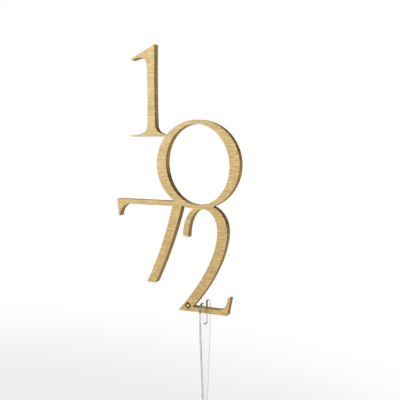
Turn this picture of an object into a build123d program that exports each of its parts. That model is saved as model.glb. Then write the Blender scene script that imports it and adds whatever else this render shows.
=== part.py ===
from build123d import *
import os
from math import cos, radians, sin, sqrt

# A cake topper: one laser-cut board of linked serif numerals with a metallic film on both faces,
# held in the forked head of a clear stake.
# Millimetres. X runs along the board, -Y is the front, +Z is up.
# The origin is on the stake's centre line, level with the surface that the stake is pushed into.

# Board and films
CORE_THICKNESS = 4.3
FILM_THICKNESS = 0.15

# Common to all four numerals
LINK = 2.4               # how deep one numeral runs into the next, so that the sheet stays whole
SERIF_TIP = 0.9          # thickness of a serif at its tip
TIP_BULGE = 0.25         # how far a tip is rounded out
ROUND = 0.56             # handles of a round curve, as a share of the span that it turns through
BRACKET = 0.75           # handles of the curve from a serif to its stem, measured the same way

# Numeral one, top left
ONE_HEIGHT = 51.1
ONE_STEM = 4.9
ONE_WAIST = 0.25         # how far each side of the stem curves in
ONE_FOOT = 27.0          # serif tip to serif tip along the baseline
ONE_BRACKET = 7.5        # height of the curve from foot to stem
ONE_FLAG = 12.6          # reach of the flag from the stem's centre line
ONE_FLAG_DROP = 7.2      # fall of the flag's upper edge
ONE_FLAG_ROOT = 12.5     # top of the stem down to where the flag's underside joins it
ONE_SINK = 9.2           # baseline below the top of the zero
ONE_LINK = 4.6           # right serif into the zero

# Numeral zero, middle
ZERO_WIDTH = 50.0
ZERO_HEIGHT = 49.3
ZERO_STEM = 5.95         # stroke at the sides
ZERO_HAIR = 2.3          # stroke at the top and bottom
ZERO_STRESS = 7.0        # degrees that the counter leans back
ZERO_OFFSET = -3.95      # centre from the stake's centre line

# Numeral seven, bottom left
SEVEN_WIDTH = 42.8
SEVEN_HEIGHT = 47.8
SEVEN_STEM = 5.6         # diagonal, measured along the baseline
SEVEN_BAR = 2.7
SEVEN_LEAN = 17.6        # how far the diagonal's right edge comes back to the left
SEVEN_BOW = 1.3          # bow of the diagonal
SEVEN_SERIF = 9.8        # drop of the serif at the bar's left end
SEVEN_SERIF_LEAN = 0.9   # how far the serif's outer edge comes in towards its tip
SEVEN_BRACKET = 9.0      # length of the curve from bar to serif
SEVEN_RIGHT = -12.6      # top right corner from the stake's centre line

# Numeral two, bottom right
TWO_HEIGHT = 61.2
TWO_FOOT = 29.1          # underside of the foot, end to end
TWO_FOOT_LEFT = 14.9     # left end of the foot from the stake's centre line
TWO_FOOT_BAR = 2.7
TWO_TICK_RISE = 9.8      # height of the tick at the foot's right end
TWO_TICK_LEAN = 1.9      # how far the tick leans out
TWO_TICK_TIP = 1.7
TWO_TICK_BRACKET = 5.6   # length of the curve from foot to tick
TWO_BOWL_LEFT = 13.2     # bowl's reach to the left of its crown
TWO_BOWL_RIGHT = 13.4    # bowl's reach to the right of its crown
TWO_BOWL_DROP = 14.6     # crown down to the widest point
TWO_STEM = 5.8           # stroke at the bowl's right
TWO_HAIR = 2.6           # stroke at the crown
TWO_CROWN = 0.6          # crown from the stake's centre line
TWO_END_DROP = 17.6      # crown down to the end of the bowl's stroke
TWO_END = 3.3            # width of that end
TWO_END_SLANT = 1.2      # how much lower its inner corner is
TWO_HEEL = 8.2           # foot's left end to the crotch of foot and diagonal
TWO_HEEL_ANGLE = 49.0    # degrees of the diagonal at the foot
TWO_SWEEP = 0.33         # handles of the sweep from bowl to foot, as a share of its span

# Stake
STAKE_WIDTH = 14.0       # across the board
STAKE_THICKNESS = 1.2    # along the board
STAKE_DEPTH = 47.0       # surface down to the tip
STAKE_TIP = 3.0
STAKE_TIP_RADIUS = 1.2
FOOT_RISE = 22.1         # underside of the lowest numeral above the surface
PRONG_RISE = 6.2         # prongs above the underside of the foot
PRONG_OUTER_RADIUS = 2.8
PRONG_INNER_RADIUS = 0.6
SLOT_SPARE = 6.6         # slot left open below the foot
SLOT_CLEARANCE = 0.1     # each side of the board
SLOT_CORNER = 0.4
SHOULDER_DROP = 4.0      # slot's bottom down to where the taper starts
SHOULDER_RADIUS = 20.0

# Most that a round may take of the wall it is on, where that wall is thin
TIP_ROUND_LIMIT = 0.9    # of half the tip
OUTER_ROUND_LIMIT = 0.7  # of a prong's width
INNER_ROUND_LIMIT = 0.2  # of a prong's width
SLOT_ROUND_LIMIT = 0.4   # of half the slot

# Thickness of the whole board, and the slot that takes it
BOARD_THICKNESS = CORE_THICKNESS + 2 * FILM_THICKNESS
SLOT_WIDTH = BOARD_THICKNESS + 2 * SLOT_CLEARANCE

# Half sizes of the zero, which the other three numerals run into
RING_X = ZERO_WIDTH / 2
RING_Z = ZERO_HEIGHT / 2


def ring_below(x):
    """Distance from the zero's centre down to its lower outer edge, at x from the stake's line."""
    return RING_Z * sqrt(1 - ((x - ZERO_OFFSET) / RING_X) ** 2)


def ring_left(rise):
    """Distance from the zero's centre out to its left outer edge, at a rise above the centre."""
    return RING_X * sqrt(1 - (rise / RING_Z) ** 2)


# Places that follow from the links: the zero stands on the two, the seven and the one run into it
ZERO_CENTRE = FOOT_RISE + TWO_HEIGHT - LINK + ring_below(TWO_CROWN)
SEVEN_TOP = ZERO_CENTRE - ring_below(SEVEN_RIGHT) + LINK
ONE_BASE = ZERO_CENTRE + RING_Z - ONE_SINK
ONE_RIGHT = ZERO_OFFSET - ring_left(RING_Z - ONE_SINK) + ONE_LINK

UP = (0, 1)
DOWN = (0, -1)
LEFT = (-1, 0)
RIGHT = (1, 0)


def curve(start, leave, end, arrive, share=ROUND):
    """Cubic that leaves start and arrives at end along two unit directions.

    Each handle is a share of the span from start to end, measured along its own direction.
    """
    start, leave, end, arrive = (Vector(*pair) for pair in (start, leave, end, arrive))
    span = end - start
    first = start + leave * (share * abs(span.dot(leave)))
    second = end - arrive * (share * abs(span.dot(arrive)))
    return Bezier(start, first, second, end)


def numeral_one():
    """Waisted stem on a bracketed foot, with a flag to the left; right serif's underside at 0, 0."""
    half = ONE_STEM / 2
    foot = ONE_FOOT / 2
    stem_top = (half, ONE_HEIGHT)
    stem_right = (half, ONE_BRACKET)
    stem_left = (-half, ONE_BRACKET)
    right_tip = (foot, SERIF_TIP)
    left_tip = (-foot, SERIF_TIP)
    flag_tip = (-ONE_FLAG, ONE_HEIGHT - ONE_FLAG_DROP)
    flag_under = (-ONE_FLAG + SERIF_TIP / 2, ONE_HEIGHT - ONE_FLAG_DROP - SERIF_TIP)
    flag_turn = (-half, ONE_HEIGHT - ONE_FLAG_DROP / 2 - SERIF_TIP)
    flag_root = (-half, ONE_HEIGHT - ONE_FLAG_ROOT)
    outline = (
        Line((-foot, 0), (foot, 0))
        + SagittaArc((foot, 0), right_tip, -TIP_BULGE)
        + curve(right_tip, LEFT, stem_right, UP, BRACKET)
        + SagittaArc(stem_right, stem_top, ONE_WAIST)
        + Line(stem_top, flag_tip)
        + SagittaArc(flag_tip, flag_under, -TIP_BULGE)
        + Bezier(flag_under, flag_turn, flag_root)
        + SagittaArc(flag_root, stem_left, ONE_WAIST)
        + curve(stem_left, DOWN, left_tip, LEFT, BRACKET)
        + SagittaArc(left_tip, (-foot, 0), -TIP_BULGE)
    )
    return Pos(-foot, 0) * make_face(outline)


def numeral_zero():
    """Round ring whose counter leans back, so that the stroke swells at the sides; centre at 0, 0."""
    counter = Ellipse(RING_X - ZERO_STEM, RING_Z - ZERO_HAIR)
    return Ellipse(RING_X, RING_Z) - Rot(0, 0, ZERO_STRESS) * counter


def numeral_seven():
    """Thin bar with a dropped serif, and a bowed diagonal; top right corner at 0, 0."""
    bar_left = (-SEVEN_WIDTH, 0)
    base_right = (-SEVEN_LEAN, -SEVEN_HEIGHT)
    base_left = (-SEVEN_LEAN - SEVEN_STEM, -SEVEN_HEIGHT)
    armpit = (-SEVEN_STEM - SEVEN_LEAN * SEVEN_BAR / SEVEN_HEIGHT, -SEVEN_BAR)
    serif_outer = (-SEVEN_WIDTH + SEVEN_SERIF_LEAN, -SEVEN_SERIF)
    serif_inner = (serif_outer[0] + SERIF_TIP, -SEVEN_SERIF)
    bracket_end = (-SEVEN_WIDTH + SEVEN_BRACKET, -SEVEN_BAR)
    outline = (
        Line(bar_left, (0, 0))
        + SagittaArc((0, 0), base_right, SEVEN_BOW)
        + Line(base_right, base_left)
        + SagittaArc(base_left, armpit, -SEVEN_BOW)
        + Line(armpit, bracket_end)
        + curve(bracket_end, LEFT, serif_inner, DOWN)
        + SagittaArc(serif_inner, serif_outer, TIP_BULGE)
        + Line(serif_outer, bar_left)
    )
    return make_face(outline)


def numeral_two():
    """Bowl that swells to the right and sweeps down to a thin foot with a tick.

    The underside of the foot is at y = 0 and the stake's centre line at x = 0.
    """
    foot_left = -TWO_FOOT_LEFT
    foot_right = foot_left + TWO_FOOT
    heel_up = (cos(radians(TWO_HEEL_ANGLE)), sin(radians(TWO_HEEL_ANGLE)))
    heel_down = (-heel_up[0], -heel_up[1])
    crown = (TWO_CROWN, TWO_HEIGHT)
    side = (TWO_CROWN + TWO_BOWL_RIGHT, TWO_HEIGHT - TWO_BOWL_DROP)
    end_outer = (TWO_CROWN - TWO_BOWL_LEFT, TWO_HEIGHT - TWO_END_DROP)
    end_inner = (end_outer[0] + TWO_END, end_outer[1] - TWO_END_SLANT)
    inner_side = (side[0] - TWO_STEM, side[1])
    inner_crown = ((end_inner[0] + inner_side[0]) / 2, TWO_HEIGHT - TWO_HAIR)
    heel_tip = (foot_left, SERIF_TIP)
    crotch = (foot_left + TWO_HEEL, TWO_FOOT_BAR)
    tick_root = (foot_right - TWO_TICK_BRACKET, TWO_FOOT_BAR)
    tick_outer = (foot_right + TWO_TICK_LEAN, TWO_TICK_RISE)
    tick_inner = (tick_outer[0] - TWO_TICK_TIP, TWO_TICK_RISE)
    outline = (
        curve(end_outer, UP, crown, RIGHT)
        + curve(crown, RIGHT, side, DOWN)
        + curve(side, DOWN, crotch, heel_down, TWO_SWEEP)
        + Line(crotch, tick_root)
        + curve(tick_root, RIGHT, tick_inner, UP)
        + SagittaArc(tick_inner, tick_outer, TIP_BULGE)
        + Line(tick_outer, (foot_right, 0))
        + Line((foot_right, 0), (foot_left, 0))
        + SagittaArc((foot_left, 0), heel_tip, TIP_BULGE)
        + curve(heel_tip, heel_up, inner_side, UP, TWO_SWEEP)
        + curve(inner_side, UP, inner_crown, LEFT)
        + curve(inner_crown, LEFT, end_inner, DOWN)
        + Line(end_inner, end_outer)
    )
    return make_face(outline)


def lettering():
    """All four numerals as one flat sheet, x along the board and y up."""
    sheet = Pos(0, FOOT_RISE) * numeral_two()
    sheet += Pos(ZERO_OFFSET, ZERO_CENTRE) * numeral_zero()
    sheet += Pos(SEVEN_RIGHT, SEVEN_TOP) * numeral_seven()
    sheet += Pos(ONE_RIGHT, ONE_BASE) * numeral_one()
    return sheet


def layer(sheet, front, thickness):
    """The sheet as an upright plate that reaches back from y = front."""
    return extrude(Plane.XZ.offset(-front) * sheet, amount=thickness, dir=(0, 1, 0))


def stake():
    """Clear strip square to the board: forked head, long taper and a rounded point."""
    half = STAKE_WIDTH / 2
    slot = SLOT_WIDTH / 2
    tip = STAKE_TIP / 2
    prong = half - slot
    top = FOOT_RISE + PRONG_RISE
    floor = FOOT_RISE - SLOT_SPARE
    shoulder = floor - SHOULDER_DROP
    left_side = [
        ((-tip, -STAKE_DEPTH), min(STAKE_TIP_RADIUS, TIP_ROUND_LIMIT * tip)),
        ((-half, shoulder), SHOULDER_RADIUS),
        ((-half, top), min(PRONG_OUTER_RADIUS, OUTER_ROUND_LIMIT * prong)),
        ((-slot, top), min(PRONG_INNER_RADIUS, INNER_ROUND_LIMIT * prong)),
        ((-slot, floor), min(SLOT_CORNER, SLOT_ROUND_LIMIT * slot)),
    ]
    right_side = [((-x, y), radius) for (x, y), radius in reversed(left_side)]
    corners = left_side + right_side
    outline = FilletPolyline(
        [point for point, radius in corners], radius=[radius for point, radius in corners], close=True)
    return extrude(Plane.YZ * make_face(outline), amount=STAKE_THICKNESS / 2, both=True)


sheet = lettering()
board_front = -BOARD_THICKNESS / 2
core_front = board_front + FILM_THICKNESS
core_back = core_front + CORE_THICKNESS
parts = {
    "front_film": layer(sheet, board_front, FILM_THICKNESS),
    "core_board": layer(sheet, core_front, CORE_THICKNESS),
    "back_film": layer(sheet, core_back, FILM_THICKNESS),
    "stake": stake(),
}

os.makedirs("parts", exist_ok=True)
for name, solid in parts.items():
    export_step(solid, f"parts/{name}.step")
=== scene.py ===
# %% [markdown]
# # A gold cake topper on a clear stake
#
# The real object is a board of linked numerals, cut by laser from one sheet with brushed gold film on both
# faces. Its foot sits in the slot of a clear plastic stake, which stands square to the board.
#
# The CAD model already says where each piece is and how large it is. So it is loaded first, as a fixed frame,
# and every piece below is worked out from it. Its box is kept now, before anything is added.

# %% Load the frame
from math import cos, pi, radians, sin, sqrt

import bpy
import numpy as np
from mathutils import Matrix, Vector
from mathutils.geometry import delaunay_2d_cdt


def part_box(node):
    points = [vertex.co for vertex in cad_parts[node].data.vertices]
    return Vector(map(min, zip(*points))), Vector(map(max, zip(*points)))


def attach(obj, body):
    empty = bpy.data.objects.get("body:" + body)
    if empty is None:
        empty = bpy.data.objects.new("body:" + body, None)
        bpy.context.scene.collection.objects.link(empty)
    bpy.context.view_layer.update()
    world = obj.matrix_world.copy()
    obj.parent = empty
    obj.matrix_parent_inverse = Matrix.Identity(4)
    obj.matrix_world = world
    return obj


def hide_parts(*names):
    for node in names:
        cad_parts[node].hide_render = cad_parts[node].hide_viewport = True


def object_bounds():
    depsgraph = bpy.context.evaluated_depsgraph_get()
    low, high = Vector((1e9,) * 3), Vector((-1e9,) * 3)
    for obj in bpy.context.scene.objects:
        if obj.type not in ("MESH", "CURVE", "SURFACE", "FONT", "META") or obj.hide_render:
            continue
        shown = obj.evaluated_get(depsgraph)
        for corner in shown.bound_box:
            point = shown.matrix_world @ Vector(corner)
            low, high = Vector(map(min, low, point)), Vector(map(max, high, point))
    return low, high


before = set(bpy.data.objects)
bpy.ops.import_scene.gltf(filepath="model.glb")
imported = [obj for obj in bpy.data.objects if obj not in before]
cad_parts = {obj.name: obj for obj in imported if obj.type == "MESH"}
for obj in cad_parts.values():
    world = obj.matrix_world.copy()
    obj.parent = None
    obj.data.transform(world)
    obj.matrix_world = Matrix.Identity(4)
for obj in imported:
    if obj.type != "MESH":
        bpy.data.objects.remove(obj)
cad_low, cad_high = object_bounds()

MM = 0.001
X, Y = 0, 1
print("CAD box, mm:", [round(side / MM, 2) for side in (*cad_low, *cad_high)])

# %% [markdown]
# ## The line that the laser follows
#
# A laser-cut sheet is one outline, carried straight through the thickness. That outline could be drawn again
# here, curve by curve, but the CAD model has it already, as the rim of each flat face. Reading it from there
# means that the looks can't drift away from the part.
#
# The rim is found with whole arrays. An edge inside the face belongs to two triangles, and an edge on the rim
# to one. Following the rim from point to point would be a slow loop in Python, so each point's link is
# doubled again and again instead: after 10 doublings it has gone 1024 points along.

# %% Put edges end to end
def end_to_end(edges, count):
    """Puts directed edges end to end: the closed lines that they form, as arrays of point numbers.

    The lowest number that a point meets on its way round names its line. The steps that it still has to go
    to that lowest point then give its place on the line.
    """
    here = np.arange(count)
    doublings = range(count.bit_length())
    follows = here.copy()
    follows[edges[:, 0]] = edges[:, 1]
    line_of, jump = here, follows
    for _ in doublings:
        line_of = np.minimum(line_of, line_of[jump])
        jump = jump[jump]
    jump = np.where(follows == line_of, here, follows)
    still_to_go = (jump != here).astype(int)
    for _ in doublings:
        still_to_go = still_to_go + still_to_go[jump]
        jump = jump[jump]
    on_rim = edges[:, 0]
    starts = np.unique(line_of[on_rim])
    members = [on_rim[line_of[on_rim] == start] for start in starts]
    return [line[np.argsort(-still_to_go[line])] for line in members]


print("edges 2-0, 0-1 and 1-2 make", end_to_end(np.array([[2, 0], [0, 1], [1, 2]]), 3))

# %% Read the rim of a flat face
MERGE = 1e-7
FLAT = 1e-6
LOW, HIGH = -1, 1


def face_rim(node, axis, side):
    """Closed lines round a node's flat face at its LOW or HIGH side along an axis.

    Each line is an array of points in the face's own two axes, with the material on its left.
    """
    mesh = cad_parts[node].data
    corners = np.empty(len(mesh.vertices) * 3, np.float32)
    mesh.vertices.foreach_get("co", corners)
    corners = corners.reshape(-1, 3).astype(float)
    triangles = np.empty(len(mesh.loops), np.int32)
    mesh.loops.foreach_get("vertex_index", triangles)
    triangles = triangles.reshape(-1, 3)
    reach = side * corners[:, axis]
    triangles = triangles[(reach > reach.max() - FLAT)[triangles].all(axis=1)]
    flat = np.delete(corners, axis, axis=1)
    points, merged = np.unique(np.round(flat / MERGE), axis=0, return_inverse=True)
    triangles = merged.ravel()[triangles]
    edges = np.concatenate([triangles[:, [0, 1]], triangles[:, [1, 2]], triangles[:, [2, 0]]])
    both_ways = np.sort(edges, axis=1)
    _, first, uses = np.unique(both_ways, axis=0, return_index=True, return_counts=True)
    rim = edges[first[uses == 1]]
    return [points[line] * MERGE for line in end_to_end(rim, len(points))]


board_rim = face_rim("front_film", Y, LOW)
stake_rim = face_rim("stake", X, HIGH)
print("points on the board's rim", [len(line) for line in board_rim])
print("points on the stake's rim", [len(line) for line in stake_rim])

# %% [markdown]
# ## Round curves from short chords
#
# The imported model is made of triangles, so its curves are chains of short chords. A laser moves smoothly, and
# a gloss finish shows each chord as a facet. A subdivision surface would round the curves, but it would also
# soften the sharp corners of the serifs. Here each chord becomes one cubic that leaves and arrives in the
# direction that its neighbours give. Where the line turns by more than a few degrees, it is a real corner,
# and the cubics on either side of it don't share a direction.

# %% Carry a smooth line through the chords
CORNER_TURN = radians(12)


def unit(vectors):
    """Vectors of length 1 in the same directions."""
    return vectors / np.linalg.norm(vectors, axis=1, keepdims=True)


def dot(first, second):
    """The row by row scalar product, as a column."""
    return np.sum(first * second, axis=1, keepdims=True)


def smooth_line(line, spacing):
    """Points at most one spacing apart on a smooth line through the given points.

    On the chord from a to b, of length h, with unit directions u at a and v at b, it is the cubic
    (2t3 - 3t2 + 1) a + (t3 - 2t2 + t) h u + (3t2 - 2t3) b + (t3 - t2) h v, for t from 0 to 1.
    A direction at a corner is the mirror image, in the chord, of that at the chord's other end.
    """
    ahead = np.roll(line, -1, axis=0)
    chord = ahead - line
    length = np.linalg.norm(chord, axis=1, keepdims=True)
    along = chord / length
    turn = np.arccos(np.clip(dot(along, np.roll(along, 1, axis=0)), -1, 1))
    corner = turn > CORNER_TURN
    corner_ahead = np.roll(corner, -1, axis=0)
    heading = unit(ahead - np.roll(line, 1, axis=0))
    leave, arrive = heading, np.roll(heading, -1, axis=0)
    mirror_leave = 2 * dot(leave, along) * along - leave
    mirror_arrive = 2 * dot(arrive, along) * along - arrive
    both = corner & corner_ahead
    leave = np.where(both, along, np.where(corner, mirror_arrive, leave))
    arrive = np.where(both, along, np.where(corner_ahead, mirror_leave, arrive))

    parts = np.ceil(length[:, 0] / spacing).astype(int)
    at = np.repeat(np.arange(len(line)), parts)
    t = (np.arange(len(at)) - np.repeat(np.cumsum(parts) - parts, parts)) / parts[at]
    t = t[:, None]
    return (
        (2 * t**3 - 3 * t**2 + 1) * line[at]
        + (t**3 - 2 * t**2 + t) * (length * leave)[at]
        + (3 * t**2 - 2 * t**3) * ahead[at]
        + (t**3 - t**2) * (length * arrive)[at]
    )


print("a triangle keeps its corners:", smooth_line(np.array([[0, 0], [2, 0], [0, 1]]), 2.0).tolist())

# %% [markdown]
# ## A plate: a profile carried round an outline
#
# All four pieces are plates: two flat faces and a rim. The rim is the part that the light picks out, so it is
# made as a surface in two parameters, the place along the outline and the place on a small profile that goes
# from one face to the other. The profile says how far in from the outline the rim lies at each depth, which
# gives a rounded arris, a polished edge or the ripples of a laser cut with the same few lines.
#
# Extrude and Bevel would do for the plain edges, but not for ripples, and Bevel fails at the fine serif tips.

# %% Find the way into the material
SHARPEST_MITRE = 0.3


def into_material(line):
    """The way into the material at each point, with the material on the line's left.

    Moving a line by d times this vector moves each of its sides by d: m / (1 + n1.n2), where n1 and n2 are
    the normals of the two sides that meet at the point and m is their sum.
    """
    along = unit(np.roll(line, -1, axis=0) - line)
    normal = np.column_stack([-along[:, 1], along[:, 0]])
    normal_before = np.roll(normal, 1, axis=0)
    closeness = np.maximum(1 + dot(normal, normal_before), SHARPEST_MITRE)
    return (normal + normal_before) / closeness


square = np.array([[0, 0], [1, 0], [1, 1], [0, 1]])
print("the way in at a square's corners:", into_material(square).tolist())


# %% Two plain profiles
def even_insets(lines, profile):
    """The same inset all along each outline, at each level of a profile."""
    return [np.repeat(profile[:, None], len(line), axis=1) for line in lines]


def quarter_round(radius, steps):
    """A rounded arris, from the face to the side: the inset from the outline and the depth below the face.

    At turn a from 0 to a right angle they are radius (1 - sin a) and radius (1 - cos a).
    """
    turn = np.linspace(0, pi / 2, steps)
    return radius * (1 - np.sin(turn)), radius * (1 - np.cos(turn))


print("a quarter round in 3 steps:", np.round(quarter_round(1.0, 3), 2).tolist())

# %% [markdown]
# ## Faces with openings
#
# A face in Blender can't have a hole, and the board has one in its ring. So each flat face is made of
# triangles. They could fan out from one point, but an outline that bends in and out has gaps that such
# triangles would cross. A Delaunay fill keeps to the outline and makes few slivers: as far as the outline
# lets it, no triangle's circle holds another point.

# %% Fill a face
FILL_LEAVING_HOLES, FILL_MERGE = 2, 1e-9


def fill_between(lines):
    """Triangles that fill an outline and leave its openings, as rows of three point numbers."""
    ends = np.cumsum([len(line) for line in lines])
    rounds = [list(range(end - len(line), end)) for line, end in zip(lines, ends)]
    points = np.concatenate(lines) / MM
    found = delaunay_2d_cdt(points.tolist(), [], rounds, FILL_LEAVING_HOLES, FILL_MERGE)
    triangles, came_from = found[2], found[3]
    same_point = np.array([numbers[0] for numbers in came_from])
    return same_point[np.array(triangles)]


print("a square is filled by", len(fill_between([square])), "triangles")

# %% Make a plate
SHARP_EDGE = radians(40)
FACE, RIM = 0, 1


def plate(name, lines, insets, depths, axis):
    """A closed plate from outlines and a rim profile, from its near face to its far face along an axis.

    The rim's point number j on the profile, at point i of an outline, is the outline's point i moved by
    inset[j, i] into the material, at depth[j]. Each face fills what lies inside the rim's end there.
    """
    levels = len(depths)
    points, quads, near, far, start = [], [], [], [], 0
    for line, inset in zip(lines, insets):
        count = len(line)
        flat = line + inset[:, :, None] * into_material(line)
        depth = np.broadcast_to(depths[:, None, None], (levels, count, 1))
        points.append(np.insert(flat, [axis], depth, axis=2).reshape(-1, 3))
        number = start + np.arange(levels * count).reshape(levels, count)
        ahead = np.roll(number, -1, axis=1)
        quads.append(np.stack([number[:-1], number[1:], ahead[1:], ahead[:-1]], axis=2).reshape(-1, 4))
        near.append(number[0])
        far.append(number[-1])
        start += levels * count
    points = np.concatenate(points)
    quads = np.concatenate(quads)
    near_fill, far_fill = (
        np.concatenate(rings)[fill_between([np.delete(points[ring], axis, axis=1) for ring in rings])]
        for rings in (near, far)
    )

    mesh = bpy.data.meshes.new(name)
    mesh.from_pydata(points, [], quads.tolist() + near_fill.tolist() + far_fill[:, ::-1].tolist())
    on_rim = np.arange(len(mesh.polygons)) < len(quads)
    mesh.polygons.foreach_set("material_index", np.where(on_rim, RIM, FACE).astype(np.int32))
    mesh.set_sharp_from_angle(angle=SHARP_EDGE)
    mesh.polygons.foreach_set("use_smooth", on_rim)
    mesh.validate()
    piece = bpy.data.objects.new(name, mesh)
    bpy.context.scene.collection.objects.link(piece)
    print(name, len(points), "points,", 2 * len(quads) + len(near_fill) + len(far_fill), "triangles")
    return piece


# %% [markdown]
# ## A small engraved lozenge
#
# Low on the front, the same laser draws a small lozenge with a weak beam, which burns through the film and
# stops at the board. A dark decal would do from afar, but it would have no depth. So the band that the beam
# takes is left out of the film: its outer line is a hole, and its inner line goes round an island of film.
# The film lies on the left of both lines, so the hole's line runs clockwise.

# %% Draw the lozenge
LOZENGE_CENTRE = np.array([-9.6, 25.4]) * MM
LOZENGE_REACH = 2.15 * MM
BEAM = 0.65 * MM


def lozenge(reach):
    """A square on its corner, anticlockwise: corner k is the centre + reach (cos k pi / 2, sin k pi / 2)."""
    turn = np.arange(4) * pi / 2
    return LOZENGE_CENTRE + reach * np.column_stack([np.cos(turn), np.sin(turn)])


hole = lozenge(LOZENGE_REACH)[::-1]
island = lozenge(LOZENGE_REACH - sqrt(2) * BEAM)
print("lozenge, mm:", np.round(hole / MM, 2).tolist())

# %% [markdown]
# ## Gold film, front and back
#
# The film is 0.15 mm thick and goes on before the sheet is cut, so it ends exactly at the cut. The cut leaves
# its outer arris a little round. That small round catches a thin bright line all round the numerals.
#
# The film could be a finish on the board's own faces. As a piece of its own it shows its thin edge, and the
# engraved line can go through it.

# %% Make both films
FILM_SPACING = 0.4 * MM
FILM_ARRIS = 0.1 * MM
ARRIS_STEPS = 5


def film(name, inner, outer, engraved):
    """A film from its outer face, whose arris is rounded, to its inner face, on the board.

    A plate runs from low Y to high Y, so the profile of a film whose outer face is the higher one is turned.
    """
    lines = [smooth_line(line, FILM_SPACING) for line in board_rim + engraved]
    inset, below = quarter_round(FILM_ARRIS, ARRIS_STEPS)
    inset = np.append(inset, 0.0)
    depth = np.append(outer - np.sign(outer) * below, inner)
    if outer > inner:
        inset, depth = inset[::-1], depth[::-1]
    piece = plate(name, lines, even_insets(lines, inset), depth, Y)
    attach(piece, "panel")
    return piece


core_low, core_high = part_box("core_board")
film_low, film_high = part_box("front_film")[0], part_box("back_film")[1]
gold_front = film("gold_front", core_low.y, film_low.y, [hole, island])
gold_back = film("gold_back", core_high.y, film_high.y, [])
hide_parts("front_film")
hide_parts("back_film")

# %% [markdown]
# ## The cut wall of the board
#
# The laser is pulsed, so it leaves fine ripples that run through the thickness. They lag behind the beam as
# it goes deeper, which bends each ripple into a shallow arc. A bump map would fake them, but then the outline
# of the mesh would be plain. So the ripples are in the surface: a wave in the place along the cut,
# whose phase also depends on the depth, and whose strength swells and fades as the cutter's speed changes.

# %% Work out the ripples
RIPPLE_PITCH = 1.0 * MM
RIPPLE_DEPTH = 0.05 * MM
RIPPLE_LAG = 0.6
SWELL_PITCH = 9 * MM
SWELL_MEAN, SWELL_CHANGE = 0.65, 0.35


def cut_ripple(line, depth):
    """How far the ripples go in, for each depth from 0 at the near face to 1 at the far one, and each point.

    Half of RIPPLE_DEPTH times (1 + swell * sin(2 pi (s / pitch - lag * depth squared))), where s is the way
    along the cut. The pitch is fitted so that a whole number of ripples goes round the outline.
    """
    step = np.linalg.norm(np.roll(line, -1, axis=0) - line, axis=1)
    total = step.sum()
    share = (np.cumsum(step) - step) / total
    ripples = round(total / RIPPLE_PITCH)
    swells = max(1, round(total / SWELL_PITCH))
    lag = RIPPLE_LAG * depth[:, None] ** 2
    wave = np.sin(2 * pi * (ripples * share - lag))
    swell = SWELL_MEAN + SWELL_CHANGE * np.sin(2 * pi * swells * share)
    print(ripples, "ripples and", swells, "swells round", round(total / MM), "mm")
    return RIPPLE_DEPTH / 2 * (1 + swell * wave)


# %% Make the board between the films
CUT_SPACING = 0.16 * MM
CUT_LEVELS = 9
KERF_WAIST = 0.02 * MM

cut_lines = [smooth_line(line, CUT_SPACING) for line in board_rim]
through = np.linspace(0, 1, CUT_LEVELS)
waist = KERF_WAIST * np.sin(pi * through)[:, None]
cut_insets = [cut_ripple(line, through) + waist for line in cut_lines]
cut_depths = core_low.y + (core_high.y - core_low.y) * through
cut_board = plate("cut_board", cut_lines, cut_insets, cut_depths, Y)
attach(cut_board, "panel")
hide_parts("core_board")

# %% [markdown]
# ## Which way a wall faces
#
# Walls that face the upper right of the sheet are painted darker, as painted shade. The shader can't tell how
# the sheet lay, but the outline can: each point of the mesh keeps, as an attribute, how far its wall faces
# that way.

# %% Keep how far each wall faces the upper right, for the painted shade
# Painted shade: the side, at this angle above X, whose walls are painted darker.
SHADED_SIDE_ANGLE = radians(35)
towards_shaded_side = np.array([cos(SHADED_SIDE_ANGLE), sin(SHADED_SIDE_ANGLE)])
facing_shaded_side = np.concatenate(
    [np.tile(-unit(into_material(line)) @ towards_shaded_side, CUT_LEVELS) for line in cut_lines]
)
stored = cut_board.data.attributes.new("facing_shaded_side", "FLOAT", "POINT")
stored.data.foreach_set("value", facing_shaded_side)
print("facing the fan, from", facing_shaded_side.min().round(2), "to", facing_shaded_side.max().round(2))

# %% [markdown]
# ## The clear stake
#
# The stake is cut from clear plastic sheet. Its edges melt to a gloss as they are cut, so they are rounded by
# about a fifth of the thickness. Solidify and Bevel could give that too, but the same plate serves, turned
# so that its thickness lies along X.

# %% Make the stake
STAKE_SPACING = 0.3 * MM
STAKE_ARRIS = 0.22 * MM

stake_low, stake_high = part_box("stake")
stake_lines = [smooth_line(line, STAKE_SPACING) for line in stake_rim]
edge_inset, edge_below = quarter_round(STAKE_ARRIS, ARRIS_STEPS)
stake_profile = np.concatenate([edge_inset, edge_inset[::-1]])
stake_depths = np.concatenate([stake_high.x - edge_below, stake_low.x + edge_below[::-1]])
clear_stake = plate("clear_stake", stake_lines, even_insets(stake_lines, stake_profile), stake_depths, X)
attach(clear_stake, "stake")
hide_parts("stake")

# %% [markdown]
# ## Shader maths as plain sums
#
# A finish is a small sum over the surface: a noise, stretched and scaled, added to another. Wiring that by
# hand takes many lines. So a node's output is wrapped in a class with +, - and * on it, and every node comes
# from one method: its type, its settings, then the values or wires of its sockets.

# %% Wires
class Wire:
    """A node's output that can be used in sums. Each sum adds a Math node."""

    def __init__(self, finish, socket):
        self.finish = finish
        self.socket = socket

    def math(self, operation, first, second):
        return self.finish.node("Math", {"operation": operation}, {0: first, 1: second})

    def __add__(self, other):
        return self.math("ADD", self, other)

    def __radd__(self, other):
        return self.math("ADD", other, self)

    def __sub__(self, other):
        return self.math("SUBTRACT", self, other)

    def __rsub__(self, other):
        return self.math("SUBTRACT", other, self)

    def __mul__(self, other):
        return self.math("MULTIPLY", self, other)

    def __rmul__(self, other):
        return self.math("MULTIPLY", other, self)

    def larger(self, other):
        return self.math("MAXIMUM", self, other)


# %% Finishes
MIX_SHARE, MIX_FIRST_COLOUR, MIX_SECOND_COLOUR, MIXED_COLOUR = 0, 6, 7, 2


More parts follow.
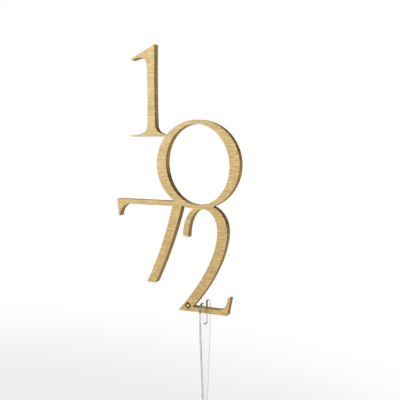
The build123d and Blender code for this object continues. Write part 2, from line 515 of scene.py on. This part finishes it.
class Finish:
    """The node tree of a material or of the world, while it is put together."""

    def __init__(self, owner):
        self.owner = owner
        owner.use_nodes = True
        self.tree = owner.node_tree
        self.tree.nodes.clear()

    def node(self, kind, settings, sockets, output=0):
        """Adds a node: its type, its settings, then a value or a wire for each of its sockets."""
        node = self.tree.nodes.new("ShaderNode" + kind)
        for name, value in settings.items():
            setattr(node, name, value)
        for name, value in sockets.items():
            if isinstance(value, Wire):
                self.tree.links.new(value.socket, node.inputs[name])
            else:
                node.inputs[name].default_value = value
        return Wire(self, node.outputs[output]) if len(node.outputs) else None

    def place(self):
        """The point on the surface, in the object's own metres."""
        return self.node("TexCoord", {}, {}, "Object")

    def grain(self, sizes, detail=2.0):
        """Noise from 0 to 1 with grains of the given sizes in mm along X, Y and Z."""
        per_metre = [1 / (size * MM) for size in sizes]
        stretched = self.node("Mapping", {}, {"Vector": self.place(), "Scale": per_metre})
        return self.node("TexNoise", {}, {"Vector": stretched, "Scale": 1.0, "Detail": detail})

    def ramp(self, value, low, high):
        """0 below low, 1 above high, and smooth between them."""
        sockets = {"Value": value, "From Min": low, "From Max": high}
        return self.node("MapRange", {"interpolation_type": "SMOOTHSTEP"}, sockets)

    def mix(self, share, first, second):
        """A colour that goes from first to second as share goes from 0 to 1."""
        sockets = {MIX_SHARE: share, MIX_FIRST_COLOUR: first, MIX_SECOND_COLOUR: second}
        return self.node("Mix", {"data_type": "RGBA"}, sockets, MIXED_COLOUR)

    def bump(self, height, distance, strength):
        """A normal that follows a height from 0 to 1, which stands for the distance in metres."""
        return self.node("Bump", {}, {"Height": height, "Distance": distance, "Strength": strength})

    def surface(self, shader):
        """Makes the shader the owner's surface, and gives the owner back."""
        kind = "OutputWorld" if isinstance(self.owner, bpy.types.World) else "OutputMaterial"
        self.node(kind, {}, {"Surface": shader})
        print(self.owner.name, len(self.tree.nodes), "nodes")
        return self.owner


# %% Colours
def colour(red, green, blue):
    """A colour as seen on a screen, 0 to 255, as the linear numbers that a shader takes.

    With s from 0 to 1 it is ((s + 0.055) / 1.055) to the power 2.4, or s / 12.92 where s is under 0.04045.
    """
    seen = np.array([red, green, blue]) / 255
    linear = np.where(seen <= 0.04045, seen / 12.92, ((seen + 0.055) / 1.055) ** 2.4)
    return (*linear.tolist(), 1.0)


print("a screen's middle grey is", round(colour(128, 128, 128)[0], 3), "in a shader")

# %% [markdown]
# ## Brushed gold
#
# The film is metal under a clear skin. It is brushed across its width, so its grains are long along X and
# thin along Z. Three lengths of grain make the brushing: short streaks, hairlines, and scratches that cross a
# whole stroke of a numeral. A broad, weak drift stops the tone from being even. A picture of brushed metal
# would show its seams, and noise has none. The colour of a metal tints what it mirrors, so it is the film's
# own gold, paler in the lines and warmer in patches.
#
# Brushing spreads the gloss across its lines, so up and down here. Anisotropic does that: on these faces the
# shader's own direction lies along X, and a quarter turn spreads the gloss along Z. The clear skin is the
# shader's coat. It mirrors without a tint, so the gold pales where a lamp shows in it.

# %% Dress the films
GOLD_DEEP = colour(183, 153, 83)
GOLD_PALE = colour(242, 212, 140)
GOLD_WARM = colour(210, 168, 102)
BRUSH_RELIEF = 0.02 * MM

gold = Finish(bpy.data.materials.new("brushed_gold"))
streak = gold.grain((1.0, 2, 0.12), detail=1.0)
hairline = gold.grain((6, 2, 0.55), detail=1.0)
scratch = gold.grain((12, 2, 0.18), detail=1.0)
drift = gold.grain((16, 16, 11))
warmth = gold.grain((7, 5, 1.6))
brushing = 0.4 * streak + 0.28 * hairline + 0.28 * scratch + 0.04 * drift
gold_tone = gold.mix(gold.ramp(brushing, low=0.445, high=0.645), GOLD_DEEP, GOLD_PALE)
gold_relief = 0.4 * streak + 0.3 * hairline + 0.3 * scratch
gold_surface = {
    "Base Color": gold.mix(0.12 * gold.ramp(warmth, low=0.45, high=0.7), gold_tone, GOLD_WARM),
    "Metallic": 1.0,
    "Roughness": 0.7 - 0.16 * streak,
    "Anisotropic": 0.3,
    "Anisotropic Rotation": 0.25,
    "Coat Weight": 1.0,
    "Coat Roughness": 0.3,
    "Coat IOR": 1.8,
    "Normal": gold.bump(gold_relief, BRUSH_RELIEF, strength=0.35),
}
brushed_gold = gold.surface(gold.node("BsdfPrincipled", {}, gold_surface))

for piece in (gold_front, gold_back):
    piece.data.materials.append(brushed_gold)
    piece.data.materials.append(brushed_gold)

# %% [markdown]
# ## The burnt edge
#
# The board is fibre dyed brown gold. The laser enters at the front, so the wall is scorched to a warmer brown
# just behind the front film and is paler towards the back. Soot follows the ripples, in streaks that run
# through the thickness: noise with long grains along Y does that on a wall that faces any way. Walls that face
# the upper right are also painted darker, as painted shade, from the attribute that the mesh keeps.

# %% Dress the cut wall
CUT_PALE = colour(168, 138, 86)
CUT_DARK = colour(74, 54, 22)
CUT_WARM = colour(152, 112, 56)
SCORCH_DEPTH = 2.0 * MM
CUT_RELIEF = 0.04 * MM

cut = Finish(bpy.data.materials.new("laser_cut_edge"))
soot = cut.grain((0.8, 9, 0.8), detail=3.0)
fibre = cut.grain((0.3, 0.9, 0.3))
depth_in = cut.node("SeparateXYZ", {}, {"Vector": cut.place()}, "Y")
scorch = 1 - cut.ramp(depth_in, core_low.y, core_low.y + SCORCH_DEPTH)
shaded_side_facing = cut.node("Attribute", {"attribute_name": "facing_shaded_side"}, {}, "Fac")
# Painted shade: walls that face the upper right go towards the dark brown, mixed in with the real soot.
painted_shade = cut.ramp(shaded_side_facing, low=0.75, high=1.0)
burn_and_shade = cut.ramp(0.75 * soot + 0.2 * fibre + 0.1 * scorch + 0.25 * painted_shade, low=0.38, high=0.92)
bare_wall = cut.mix(0.8 * scorch, CUT_PALE, CUT_WARM)
cut_surface = {
    "Base Color": cut.mix(burn_and_shade, bare_wall, CUT_DARK),
    "Roughness": 0.9 - 0.2 * soot,
    "Specular IOR Level": 0.03,
    "Normal": cut.bump(0.6 * soot + 0.4 * fibre, CUT_RELIEF, strength=0.4),
}
laser_cut_edge = cut.surface(cut.node("BsdfPrincipled", {}, cut_surface))

# %% [markdown]
# ## Char in the engraved line
#
# The board's flat face shows only in the engraved line, where the slow beam has charred it. Char is nearly
# black and matt, with flecks of brown where the ash has come off. A flat black would look like paint, so one
# noise gives it colour, roughness and relief.

# %% Dress the board's face
CHAR_PALE = colour(46, 30, 14)
CHAR_DARK = colour(18, 11, 5)
CHAR_RELIEF = 0.03 * MM

char = Finish(bpy.data.materials.new("charred_face"))
ash = char.grain((0.5, 0.5, 0.5), detail=3.0)
char_surface = {
    "Base Color": char.mix(ash, CHAR_DARK, CHAR_PALE),
    "Roughness": 0.95 - 0.25 * ash,
    "Specular IOR Level": 0.1,
    "Normal": char.bump(ash, CHAR_RELIEF, strength=0.5),
}
charred_face = char.surface(char.node("BsdfPrincipled", {}, char_surface))
cut_board.data.materials.append(charred_face)
cut_board.data.materials.append(laser_cut_edge)

# %% [markdown]
# ## Clear plastic
#
# Acrylic is clearer than glass, and its faces are cast smooth, with a few faint rubs. Its cut edges look
# greyer: light that enters there is led away inside the sheet. In a white room nothing dark is left to
# refract, so that grey is painted into the edges' colour as painted shade, with fine real cut lines across
# it. On the tips of the prongs the painted shade is a darker brown. Lower down, where the prongs lie over the
# board's foot, the painted grey is left off, so the gold shows through. Both zones end on a slant, lower on
# the back prong, because a board that is pushed on by hand doesn't go on quite level.

# %% Dress the stake's faces
ACRYLIC_IOR = 1.49
CLEAR_TINT = colour(246, 248, 248)

clear = Finish(bpy.data.materials.new("clear_face"))
rub = clear.grain((6, 1.2, 7), detail=3.0)
face_surface = {
    "Base Color": CLEAR_TINT,
    "Roughness": 0.02 + 0.06 * clear.ramp(rub, low=0.5, high=0.75),
    "IOR": ACRYLIC_IOR,
    "Transmission Weight": 1.0,
}
clear_face = clear.surface(clear.node("BsdfPrincipled", {}, face_surface))

# %% Dress the stake's edges
# Painted shade: the grey of the cut edges stands in for the dark that they would refract.
EDGE_DARK, EDGE_LIGHT = colour(190, 192, 192), colour(234, 235, 235)
# Painted shade: the darker brown on the tips of the prongs.
TIP_SHADE_DARK, TIP_SHADE_LIGHT = colour(98, 88, 68), colour(160, 151, 130)
# Over the board's foot the painted grey is left off, so the gold shows through.
UNSHADED_CLEAR = colour(247, 244, 236)
UNSHADED_FROM, UNSHADED_FULL = 20.7 * MM, 21.7 * MM
TIP_SHADE_FROM, TIP_SHADE_FULL = 24.3 * MM, 25.6 * MM
SLANT = 0.3
EDGE_RELIEF = 0.02 * MM

edge = Finish(bpy.data.materials.new("clear_edge"))
cut_mark = edge.grain((4, 0.5, 0.5))
edge_y, edge_z = (edge.node("SeparateXYZ", {}, {"Vector": edge.place()}, axis) for axis in "YZ")
up_the_slant = edge_z + SLANT * edge_y
# The cut marks are real; the grey and brown that they vary are painted shade.
grey_shaded_edge = edge.mix(cut_mark, EDGE_DARK, EDGE_LIGHT)
tip_shaded_edge = edge.mix(cut_mark, TIP_SHADE_DARK, TIP_SHADE_LIGHT)
shaded_then_clear_edge = edge.mix(edge.ramp(up_the_slant, UNSHADED_FROM, UNSHADED_FULL), grey_shaded_edge, UNSHADED_CLEAR)
edge_surface = {
    "Base Color": edge.mix(edge.ramp(up_the_slant, TIP_SHADE_FROM, TIP_SHADE_FULL), shaded_then_clear_edge, tip_shaded_edge),
    "Roughness": 0.1 + 0.15 * cut_mark,
    "IOR": ACRYLIC_IOR,
    "Transmission Weight": 1.0,
    "Normal": edge.bump(cut_mark, EDGE_RELIEF, strength=0.3),
}
clear_edge = edge.surface(edge.node("BsdfPrincipled", {}, edge_surface))
clear_stake.data.materials.append(clear_face)
clear_stake.data.materials.append(clear_edge)

# %% [markdown]
# ## The floor
#
# A plain white floor under the stake's tip takes the shadow. Away from the object it fades to the white of
# the world, so that no horizon shows. A curved backdrop would do that too, but only from one side, and the
# object is looked at from all sides. Light Path says which rays see that white: those of the camera, and
# those that metal and clear plastic send on.

# %% Make the floor
FLOOR_RADIUS = 4.0
FLOOR_GAP = 0.02 * MM
FLOOR_RINGS, FLOOR_SPOKES = 12, 48


def disc(name, radius, height):
    """A flat disc: the point at share r of the radius and angle a is radius (r cos a, r sin a).

    The shares are squares, so that the rings lie closer together near the middle.
    """
    share = np.linspace(0, 1, FLOOR_RINGS + 1)[1:, None] ** 2
    angle = np.linspace(0, 2 * pi, FLOOR_SPOKES, endpoint=False)[None, :]
    ring = np.stack([share * np.cos(angle), share * np.sin(angle)], axis=2) * radius
    points = np.insert(ring.reshape(-1, 2), 2, height, axis=1)
    middle = len(points)
    points = np.concatenate([points, [[0, 0, height]]])
    number = np.arange(middle).reshape(FLOOR_RINGS, FLOOR_SPOKES)
    ahead = np.roll(number, -1, axis=1)
    quads = np.stack([number[:-1], number[1:], ahead[1:], ahead[:-1]], axis=2).reshape(-1, 4)
    hub = np.stack([np.full(FLOOR_SPOKES, middle), number[0], ahead[0]], axis=1)
    mesh = bpy.data.meshes.new(name)
    mesh.from_pydata(points, [], quads.tolist() + hub.tolist())
    piece = bpy.data.objects.new(name, mesh)
    bpy.context.scene.collection.objects.link(piece)
    print(name, len(points), "points")
    return piece


floor = disc("floor", FLOOR_RADIUS, cad_low.z - FLOOR_GAP)

# %% Dress the floor
WHITE = (1.0, 1.0, 1.0, 1.0)
FLOOR_WHITE = (0.92, 0.92, 0.92, 1.0)
FADE_CENTRE = (-0.1, -0.25, 0.0)
FADE_START, FADE_END = 0.24, 0.46


def seen_rays(finish):
    """1 for rays of the camera and those sent on by gloss or clear plastic, and 0 for the rest."""
    camera_ray, glossy_ray, clear_ray = (
        finish.node("LightPath", {}, {}, name)
        for name in ("Is Camera Ray", "Is Glossy Ray", "Is Transmission Ray")
    )
    return camera_ray.larger(glossy_ray).larger(clear_ray)


paper = Finish(bpy.data.materials.new("white_paper"))
away = paper.node("VectorMath", {"operation": "DISTANCE"}, {0: paper.place(), 1: FADE_CENTRE}, "Value")
fade = paper.ramp(away, FADE_START, FADE_END) * seen_rays(paper)
lit = paper.node("BsdfDiffuse", {}, {"Color": FLOOR_WHITE})
bare = paper.node("Emission", {}, {"Color": WHITE, "Strength": 1.0})
white_paper = paper.surface(paper.node("MixShader", {}, {0: fade, 1: lit, 2: bare}))
floor.data.materials.append(white_paper)

# %% [markdown]
# ## Light
#
# The same white fills the world for those rays. All other light is lower, so that colours come out as
# written. Three soft lamps are enough: a key from the upper left, a weak one low on the left, which shows in
# the coat of the gold, and a fill for the back. Small lamps would draw hard shadows and bright spots.

# %% Light the world
WORLD_LIGHT = 0.7

world = bpy.data.worlds.new("white_room")
bpy.context.scene.world = world
room = Finish(world)
strength = WORLD_LIGHT + (1 - WORLD_LIGHT) * seen_rays(room)
room.surface(room.node("Background", {}, {"Color": WHITE, "Strength": strength}))

# %% Hang the lamps
MIDDLE = (cad_low + cad_high) / 2
PLACE_SIZE_POWER = {
    "key": ((-0.46, -0.58, 0.84), 0.6, 2.3),
    "sheen": ((-0.55, -0.85, 0.2), 0.4, 0.78),
    "back_fill": ((0.35, 0.75, 0.55), 0.6, 1.6),
}


def softbox(name, place, size, power):
    """A square area lamp at a place, turned to face the middle of the object."""
    lamp = bpy.data.lights.new(name, "AREA")
    lamp.shape = "SQUARE"
    lamp.size = size
    lamp.energy = power
    box = bpy.data.objects.new(name, lamp)
    box.location = place
    box.rotation_euler = (MIDDLE - Vector(place)).to_track_quat("-Z", "Y").to_euler()
    bpy.context.scene.collection.objects.link(box)
    print(name, size, "m,", power, "W")


for name, (place, size, power) in PLACE_SIZE_POWER.items():
    softbox(name, place, size, power)

# %% [markdown]
# ## The camera
#
# The photograph looks at the board from about 24 degrees to the right of square and 6 degrees down, from a
# third of a metre away. A camera can be placed by eye, but the slopes of the numerals' level lines give its
# place more surely.

# %% Set up the camera
CAMERA_PLACE = (0.12873, -0.29417, 0.1192)
CAMERA_TILT = radians(84.04)
CAMERA_TURN = radians(24.14)
LENS, SENSOR = 52.55, 36.0
NEAREST = 0.01

lens = bpy.data.cameras.new("camera")
lens.lens = LENS
lens.sensor_width = SENSOR
lens.clip_start = NEAREST
camera = bpy.data.objects.new("camera", lens)
camera.location = CAMERA_PLACE
camera.rotation_euler = (CAMERA_TILT, 0, CAMERA_TURN)
bpy.context.scene.collection.objects.link(camera)
bpy.context.scene.camera = camera
bpy.context.scene.view_settings.view_transform = "Standard"
print("camera to the middle of the object, m:", round((MIDDLE - camera.location).length, 3))
